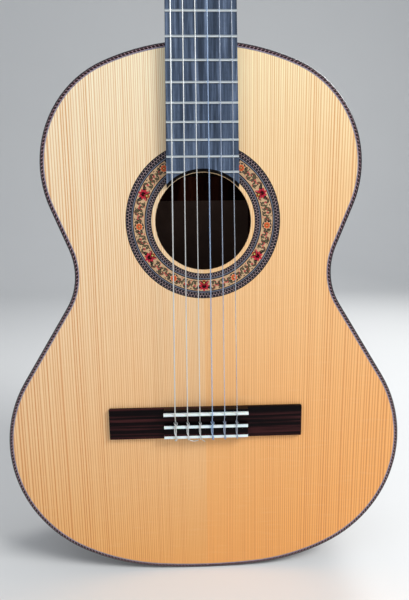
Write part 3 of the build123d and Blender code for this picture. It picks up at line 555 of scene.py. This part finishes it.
ROPE_LIGHT = inlay_wood("rope_light", tone(172, 140, 146), tone(122, 94, 102))
ROPE_DARK = inlay_wood("rope_dark", tone(28, 11, 15), tone(46, 20, 25))
LINE_PALE = inlay_wood("inlay_pale_grey", tone(156, 150, 166), tone(124, 116, 132))
edge_band("edge_line_pale", LINE_PALE, BINDING_MM + ROPE_MM, BINDING_MM + ROPE_MM + LINE_MM, 0.03)
edge_band("rope_ground", ROPE_LIGHT, BINDING_MM, BINDING_MM + ROPE_MM, 0.02)

rope = Inlay("rope_blocks", ROPE_DARK, "purfling", 0.04)
walk = outline_walk(ROPE_PERIOD_MM / ROPE_PARTS)
rope_outer = BINDING_MM + ROPE_MARGIN_MM
rope_inner = BINDING_MM + ROPE_MM - ROPE_MARGIN_MM
for first in range(0, len(walk) - ROPE_SLANT - ROPE_BLOCK, ROPE_PARTS):
    for mirror in (1, -1):
        corners = []
        for index, inset in (
            (first, rope_outer),
            (first + ROPE_BLOCK, rope_outer),
            (first + ROPE_BLOCK + ROPE_SLANT, rope_inner),
            (first + ROPE_SLANT, rope_inner),
        ):
            point, normal = walk[index]
            place = point + normal * inset
            corners.append((mirror * place.x, place.y))
        rope.add(corners if mirror > 0 else corners[::-1])
rope.build()

# ---- Rosette, in polar face coordinates: radius, and angle from six o'clock towards the treble side ----

BAND_MM = 57.1  # mid radius of the flower band
MOSAIC_RING_MM = (52.2, 62.0)
GREY_RINGS_MM = ((50.5, 51.3), (62.7, 63.6))
CHAINS = ((46.9, 50.0, 2.45), (64.4, 68.0, 2.75))  # inner and outer radius, and length of one link
FLOWER_STEP = radians(28.75)
COVER_MM = BOARD_HALF / MM - 1.2  # the fingerboard lies over the rosette this far each side


def polar(radius, angle):
    return (HOLE_MM[0] + radius * sin(angle), HOLE_MM[1] - radius * cos(angle))


def shows(radius, angle):
    """False where the fingerboard covers the rosette."""
    across, up = radius * sin(angle), -radius * cos(angle)
    return up < 0 or abs(across) > COVER_MM


def rosette_ring(name, material, inner, outer, lift_mm):
    reach = pi - asin(COVER_MM / ((inner + outer) / 2))
    turns = [reach * (k / 120 - 1) for k in range(241)]
    ring = Inlay(name, material, "rosette", lift_mm)
    ring.strip([polar(inner, a) for a in turns], [polar(outer, a) for a in turns])
    return ring.build()


CHAIN_GROUND = inlay_wood("chain_ground", tone(176, 152, 152), tone(132, 110, 114))
LINE_GREY = inlay_wood("inlay_grey", tone(120, 124, 138), tone(86, 90, 104))
CREAM = inlay_wood("mosaic_cream", tone(216, 181, 141), tone(188, 150, 110))
RED = inlay_wood("mosaic_red", tone(206, 44, 62), tone(170, 30, 48))
ORANGE = inlay_wood("mosaic_orange", tone(230, 112, 58), tone(204, 84, 44))
PINK = inlay_wood("mosaic_pink", tone(214, 100, 92), tone(186, 72, 70))
OLIVE = inlay_wood("mosaic_olive", tone(122, 112, 78), tone(92, 84, 60))
UMBER = inlay_wood("mosaic_umber", tone(34, 27, 27), tone(52, 41, 38))
YELLOW = inlay_wood("mosaic_yellow", tone(240, 204, 120), tone(224, 176, 92))

for index, (inner, outer, period) in enumerate(CHAINS):
    rosette_ring(f"chain_ground_{index + 1}", CHAIN_GROUND, inner, outer, 0.02)
for index, (inner, outer) in enumerate(GREY_RINGS_MM):
    rosette_ring(f"rosette_line_{index + 1}", LINE_GREY, inner, outer, 0.02)
rosette_ring("mosaic_ground", CREAM, *MOSAIC_RING_MM, 0.02)

diamonds = Inlay("chain_diamonds", BLACK, "rosette", 0.04)
for inner, outer, period in CHAINS:
    centre, quarter = (inner + outer) / 2, (outer - inner) / 4
    count = round(tau * centre / period)
    for k in range(count):
        for row in (-1, 1):
            radius = centre + row * quarter
            angle = tau * (k + 0.25 * row) / count
            step = tau / count
            half, flat, tall = 0.48 * step, 0.29 * step, quarter * 0.92
            corners = ((-tall, -flat), (-tall, flat), (0, half), (tall, flat), (tall, -flat), (0, -half))
            if shows(radius, angle):
                diamonds.add([polar(radius + out, angle + turn) for out, turn in corners])
diamonds.build()

layers = {
    "scroll_edges": Inlay("mosaic_scroll_edges", UMBER, "rosette", 0.04),
    "scrolls": Inlay("mosaic_scrolls", OLIVE, "rosette", 0.06),
    "leaves": Inlay("mosaic_leaves", PINK, "rosette", 0.06),
    "halos": Inlay("mosaic_halos", CREAM, "rosette", 0.08),
    "red": Inlay("mosaic_red_petals", RED, "rosette", 0.11),
    "orange": Inlay("mosaic_orange_flowers", ORANGE, "rosette", 0.10),
    "hearts": Inlay("mosaic_hearts", UMBER, "rosette", 0.13),
    "yellow": Inlay("mosaic_yellow_hearts", YELLOW, "rosette", 0.14),
}


def band_point(home, u, v):
    """A point u along and v outward from a place on the flower band."""
    return polar(BAND_MM + v, home + u / BAND_MM)


def blob(layer, home, u, v, radius, sides=14):
    ring = [(u + radius * cos(tau * k / sides), v + radius * sin(tau * k / sides)) for k in range(sides)]
    layers[layer].add([band_point(home, *p) for p in ring])


def petal(layer, home, u, v, turn, length, width):
    """A pointed leaf from (u, v), turned from the outward direction."""
    swell = [(0.25, 0.42), (0.55, 0.5), (0.82, 0.3)]
    shape = [(0, 0), *swell, (1, 0), *[(a, -s) for a, s in reversed(swell)]]
    points = []
    for along, side in shape:
        a, s = along * length, side * width
        points.append(band_point(home, u + a * sin(turn) + s * cos(turn), v + a * cos(turn) - s * sin(turn)))
    layers[layer].add(points)


def scroll(home, u, v, radius, start, sweep, mirror=1):
    """A spiral tendril that curls in from (u, v): a dark edge with an olive middle."""
    steps = 22
    path = []
    for k in range(steps + 1):
        share = k / steps
        r = radius * (1 - 0.78 * share)
        angle = start + sweep * share
        path.append((u + mirror * r * sin(angle), v + r * cos(angle), 1 - 0.45 * share))
    for layer, width in (("scroll_edges", 2.2), ("scrolls", 0.75)):
        left, right = [], []
        for k, (pu, pv, share) in enumerate(path):
            before, after = path[max(0, k - 1)], path[min(steps, k + 1)]
            du, dv = after[0] - before[0], after[1] - before[1]
            size = hypot(du, dv)
            nu, nv = -dv / size * width / 2 * share, du / size * width / 2 * share
            left.append(band_point(home, pu + nu, pv + nv))
            right.append(band_point(home, pu - nu, pv - nv))
        layers[layer].strip(left, right)


def star_flower(home):
    """Five red petals that point outward, an orange bell on the inner side and pink leaves."""
    for side in (-1, 1):
        petal("scroll_edges", home, side * 1.0, 0.2, side * 1.2, 6.2, 3.4)
        petal("scroll_edges", home, side * 0.8, 0.0, side * 2.5, 5.6, 3.2)
        petal("leaves", home, side * 2.4, -1.6, side * 2.3, 3.4, 1.7)
        petal("hearts", home, side * 4.4, 2.4, side * 1.2, 2.2, 1.1)
    for turn in (-1.55, -0.72, 0.0, 0.72, 1.55):
        petal("red", home, 0, 0.2, turn, 5.2 - 0.5 * abs(turn) ** 2 * 0.4, 2.5)
    blob("red", home, 0, 0.7, 1.7)
    for side in (-1, 1):
        petal("red", home, side * 0.6, 0.0, side * 2.35, 3.7, 1.7)
    petal("orange", home, 0, -0.6, pi, 4.6, 4.0)
    blob("orange", home, 0, -2.4, 1.9)
    blob("yellow", home, 0, -2.6, 0.8)
    blob("hearts", home, 0, 1.4, 0.55)


def round_flower(home):
    """A cream-edged orange disc with a dark cross at its heart, in a dark calyx."""
    blob("scroll_edges", home, 0, 0, 4.3, 20)
    for k in range(8):
        petal("halos", home, 0, 0, tau * k / 8, 4.0, 2.2)
    blob("orange", home, 0, 0, 2.7, 20)
    for k in range(4):
        petal("hearts", home, 0, 0, tau * (k + 0.5) / 4, 1.6, 0.9)
    blob("yellow", home, 0, 0, 0.55)


for place in range(-5, 6):
    home = place * FLOWER_STEP
    if not shows(BAND_MM, home):
        continue
    (star_flower if place % 2 == 0 else round_flower)(home)
for gap in range(-6, 6):
    home = (gap + 0.5) * FLOWER_STEP
    if not shows(BAND_MM, home):
        continue
    flip = 1 if gap % 2 == 0 else -1
    for k, (u, v) in enumerate(((-6.6, 1.9), (-2.4, -1.9), (2.4, 1.9), (6.6, -1.9))):
        out = 1 if v > 0 else -1
        scroll(home, u * flip, v * 0.85, 2.7, -1.9 * out, 5.2 * out + (0.8 if out < 0 else 0), flip)
        scroll(home, (u + 2.2) * flip, v * -1.1, 1.75, 0.6 * out, 4.6 * out, -flip)
        petal("leaves", home, (u + 1.7) * flip, v * -0.1, 0.9 * out, 2.6, 1.2)
        petal("scrolls", home, (u - 1.7) * flip, v * -1.1, 2.2 * out, 2.6, 1.2)
        petal("hearts", home, (u + 0.4) * flip, v * -1.9, 1.4, 1.8, 0.9)
        petal("leaves", home, (u - 0.6) * flip, v * 1.9, 1.6 * out, 1.9, 0.9)
        blob("red", home, (u + 1.1) * flip, v * 0.75, 0.5, 10)
for layer in layers.values():
    layer.build()

# ---- Strings' knots at the tie block and turns on the rollers ----

STRINGS = {6: 1.10, 5: 0.90, 4: 0.76, 3: 1.02, 2: 0.82, 1: 0.72}
SADDLE_SPREAD_MM = 57.5
LINE_HEIGHT_MM = 6.7  # of a sounding string in front of the face, where its loop goes round it


def wire(name, points, radius_mm, material, body, order=4):
    """A round cord through a smooth line of control points, in metres."""
    curve = bpy.data.curves.new(name, "CURVE")
    curve.dimensions = "3D"
    curve.resolution_u = 6
    curve.bevel_depth = radius_mm * MM
    curve.bevel_resolution = 3
    curve.use_fill_caps = True
    spline = curve.splines.new("NURBS")
    spline.points.add(len(points) - 1)
    for control, point in zip(spline.points, points):
        control.co = (*point, 1.0)
    spline.order_u = order
    spline.use_endpoint_u = True
    curve.materials.append(material)
    piece = bpy.data.objects.new(name, curve)
    bpy.context.scene.collection.objects.link(piece)
    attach(piece, body)
    return piece


def cord_look(number):
    """Material and slot of a string."""
    return (NYLON[number], "nylon") if number in NYLON else (WOUND, "wound_string")


def face_point(across_mm, height_mm, up):
    """A point by its distance across, its height in front of the face and its Z in metres."""
    return Vector((across_mm * MM, FACE - height_mm * MM, up))


for index, (number, diameter) in enumerate(STRINGS.items()):
    r = diameter / 2
    x = SADDLE_SPREAD_MM * (index / 5 - 0.5)
    material, slot = cord_look(number)
    top = BRIDGE_TOP / MM + r + 0.05
    loop_z = TIE_FRONT_Z + 2.6 * MM
    route = [
        face_point(x + 0.5, top + 0.05, TIE_FRONT_Z - 0.5 * MM),
        face_point(x + 0.6, top, TIE_FRONT_Z + 0.3 * MM),
        face_point(x + 2.4 * r + 0.3, LINE_HEIGHT_MM + 1.6, loop_z - 0.6 * MM),
        face_point(x + 2.6 * r + 0.2, LINE_HEIGHT_MM - 0.4, loop_z + 0.2 * MM),
        face_point(x, LINE_HEIGHT_MM - 2.6 * r - 0.9, loop_z + 0.3 * MM),
        face_point(x - 2.7 * r - 0.3, LINE_HEIGHT_MM - 0.2, loop_z + 0.5 * MM),
        face_point(x - 1.2 * r, LINE_HEIGHT_MM + 2.9 * r + 0.9, loop_z + 0.3 * MM),
        face_point(x + 0.6 * r, LINE_HEIGHT_MM + 2.8 * r + 0.6, loop_z - 0.9 * MM),
        face_point(x - 1.2 * r, top + 1.7 * r, TIE_FRONT_Z - 0.4 * MM),
        face_point(x - 1.9 * r, top + 0.4 * r, TIE_FRONT_Z - 3.5 * MM),
        face_point(x - 1.5 * r, top + 0.4 * r, TIE_FRONT_Z - 7.5 * MM),
        face_point(x + 0.4, top + 2.1 * r, TIE_REAR_Z + 3.4 * MM),
        face_point(x + 1.1 + r, top + 0.8 * r, TIE_REAR_Z + 0.8 * MM),
    ]
    tails = {
        6: [(0.9, top - 0.6, -1.6), (0.2, top - 1.9, -2.8), (-0.7, top - 2.2, -2.5), (-0.6, top - 1.2, -1.9)],
        5: [(1.2, top - 0.8, -1.6), (3.6, top - 1.8, -3.3), (7.2, top - 1.8, -3.4), (9.8, top - 0.9, -2.0)],
        4: [(1.3, top - 0.7, -1.5), (2.6, top - 2.0, -2.8), (4.4, top - 3.0, -4.6)],
        3: [(1.0, top - 0.6, -1.2), (1.3, top - 1.8, -2.4)],
        2: [(0.8, top - 0.6, -1.1), (1.2, top - 1.5, -2.0)],
        1: [(0.7, top - 0.5, -1.0), (0.6, top - 1.4, -1.8)],
    }[number]
    route += [face_point(x + across, height, TIE_REAR_Z + up * MM) for across, height, up in tails]
    wire(f"string_knot_{number}", route, r * 0.97, material, "guitar")

HEAD_TILT = radians(15.0)
HEAD_UP = Vector((0, sin(HEAD_TILT), cos(HEAD_TILT)))
HEAD_OUT = Vector((0, -cos(HEAD_TILT), sin(HEAD_TILT)))
ROLLER_MM = 5.0
ROLLER_GAP_MM = 0.05
START_ACROSS_MM = (17.6, 15.6, 13.4)  # where the outer, middle and inner strings meet their rollers
HOLE_ACROSS_MM = 15.3  # the hole in each roller that its string passes through
TURNS = 3.2
TURN_PARTS = 20
TURN_PITCH = 2.12  # in string radii
FIRST_TURN = 0.5  # radians round the roller from its front, clear of the sounding string at every pose
FIRST_SHIFT_MM = 0.35
# From the roller's axis: outward from the head's face, up the head, and away from its middle
STRING_END_MM = ((5.2, 0.0, 0), (0, 0, 0), (-5.6, 0.2, 0), (-7.6, 1.4, 0.4), (-8.6, 3.4, 1.0))
THICKEST_END_MM = 0.5

for number, diameter in STRINGS.items():
    side = 1 if number < 4 else -1
    order = number - 1 if number < 4 else 6 - number
    r = diameter / 2
    material, slot = cord_look(number)
    axle = middle(f"tuner_roller_{number}")
    wound = (ROLLER_MM + r + ROLLER_GAP_MM) * MM
    start = START_ACROSS_MM[order]
    way = 1 if start > HOLE_ACROSS_MM + 1 else -1
    route = []
    for k in range(int(TURNS * TURN_PARTS) + 1):
        turn = k / TURN_PARTS
        angle = FIRST_TURN + tau * turn
        shift = FIRST_SHIFT_MM + TURN_PITCH * r * max(0.0, turn - 0.15)
        outward = HEAD_OUT * cos(angle) + HEAD_UP * sin(angle)
        route.append(Vector((side * (start + way * shift) * MM, axle.y, axle.z)) + wound * outward)
    wire(f"string_turns_{number}", route, r, material, f"roller_{number}")
    hole = Vector((side * HOLE_ACROSS_MM * MM, axle.y, axle.z))
    tail = []
    for out, up, across in STRING_END_MM:
        tail.append(hole + (HEAD_OUT * out + HEAD_UP * up + Vector((side * across, 0, 0))) * MM)
    wire(f"string_end_{number}", tail, min(r, THICKEST_END_MM), material, f"roller_{number}", order=3)

# ---- Studio ----


def plain(name, colour, roughness):
    """Matt ground with a slight unevenness."""
    g = Shader(name)
    cloud = g.noise(g.scaled(3, 3, 3), detail=2)
    dull = [part * 0.97 for part in colour]
    return g.finish(g.mix(g.remap(cloud, 0.3, 0.7, 0.0, 0.3), colour, dull), roughness)


def make_floor():
    """A floor that bends up into a rear wall."""
    data = bpy.data.meshes.new("studio_floor")
    half, front, rear, rise, bend, below = 4.0, -4.0, 3.0, 3.2, 1.0, 0.0002
    line = [(front, 0.0), (rear - bend, 0.0)]
    line += [(rear - bend + bend * sin(radians(a)), bend - bend * cos(radians(a))) for a in range(10, 91, 10)]
    line.append((rear, rise))
    points = [(x, y, z - below) for y, z in line for x in (-half, half)]
    faces = [(2 * k, 2 * k + 1, 2 * k + 3, 2 * k + 2) for k in range(len(line) - 1)]
    data.from_pydata(points, [], faces)
    for face in data.polygons:
        face.use_smooth = True
    data.materials.append(plain("floor_pale", tone(226, 226, 224), 0.6))
    floor = bpy.data.objects.new("studio_floor", data)
    bpy.context.scene.collection.objects.link(floor)


def soft_light(name, place, target, size, power, colour):
    lamp = bpy.data.lights.new(name, "AREA")
    lamp.shape = "RECTANGLE"
    lamp.size, lamp.size_y = size
    lamp.energy = power
    lamp.color = colour
    light = bpy.data.objects.new(name, lamp)
    light.location = place
    light.rotation_mode = "QUATERNION"
    light.rotation_quaternion = (Vector(target) - Vector(place)).to_track_quat("-Z", "Y")
    bpy.context.scene.collection.objects.link(light)


make_floor()
AIM = (0.0, FACE, 0.33)
soft_light("key", (1.45, -1.05, 1.65), AIM, (0.8, 0.8), 44, (0.98, 0.99, 1.0))
soft_light("fill", (-1.6, -1.1, 0.9), AIM, (1.4, 1.4), 7, (0.95, 0.98, 1.0))
soft_light("rim", (0.9, 1.1, 1.5), AIM, (0.8, 0.8), 14, (1.0, 1.0, 1.0))

world = bpy.data.worlds.new("studio")
world.use_nodes = True
world.node_tree.nodes["Background"].inputs["Color"].default_value = (0.86, 0.91, 1.0, 1.0)
world.node_tree.nodes["Background"].inputs["Strength"].default_value = 0.45
bpy.context.scene.world = world
bpy.context.scene.view_settings.view_transform = "Standard"

# Camera at the photograph's place: 380 mm in front of the face and a little above the bridge
camera_data = bpy.data.cameras.new("photo_view")
camera_data.sensor_width = 36.0
camera_data.lens = 25.09
camera_data.clip_start = 0.01
camera = bpy.data.objects.new("photo_view", camera_data)
sight = Vector((0.0287, 0.9882, -0.1503)).normalized()
right = sight.cross(Vector((0.0173, 0.1499, 0.9886))).normalized()
camera.matrix_world = Matrix.Translation((-0.0108, FACE - 0.3786, SADDLE_Z + 0.0016 + 0.1620)) @ (
    Matrix((right, right.cross(sight), -sight)).transposed().to_4x4()
)
bpy.context.scene.collection.objects.link(camera)
bpy.context.scene.camera = camera
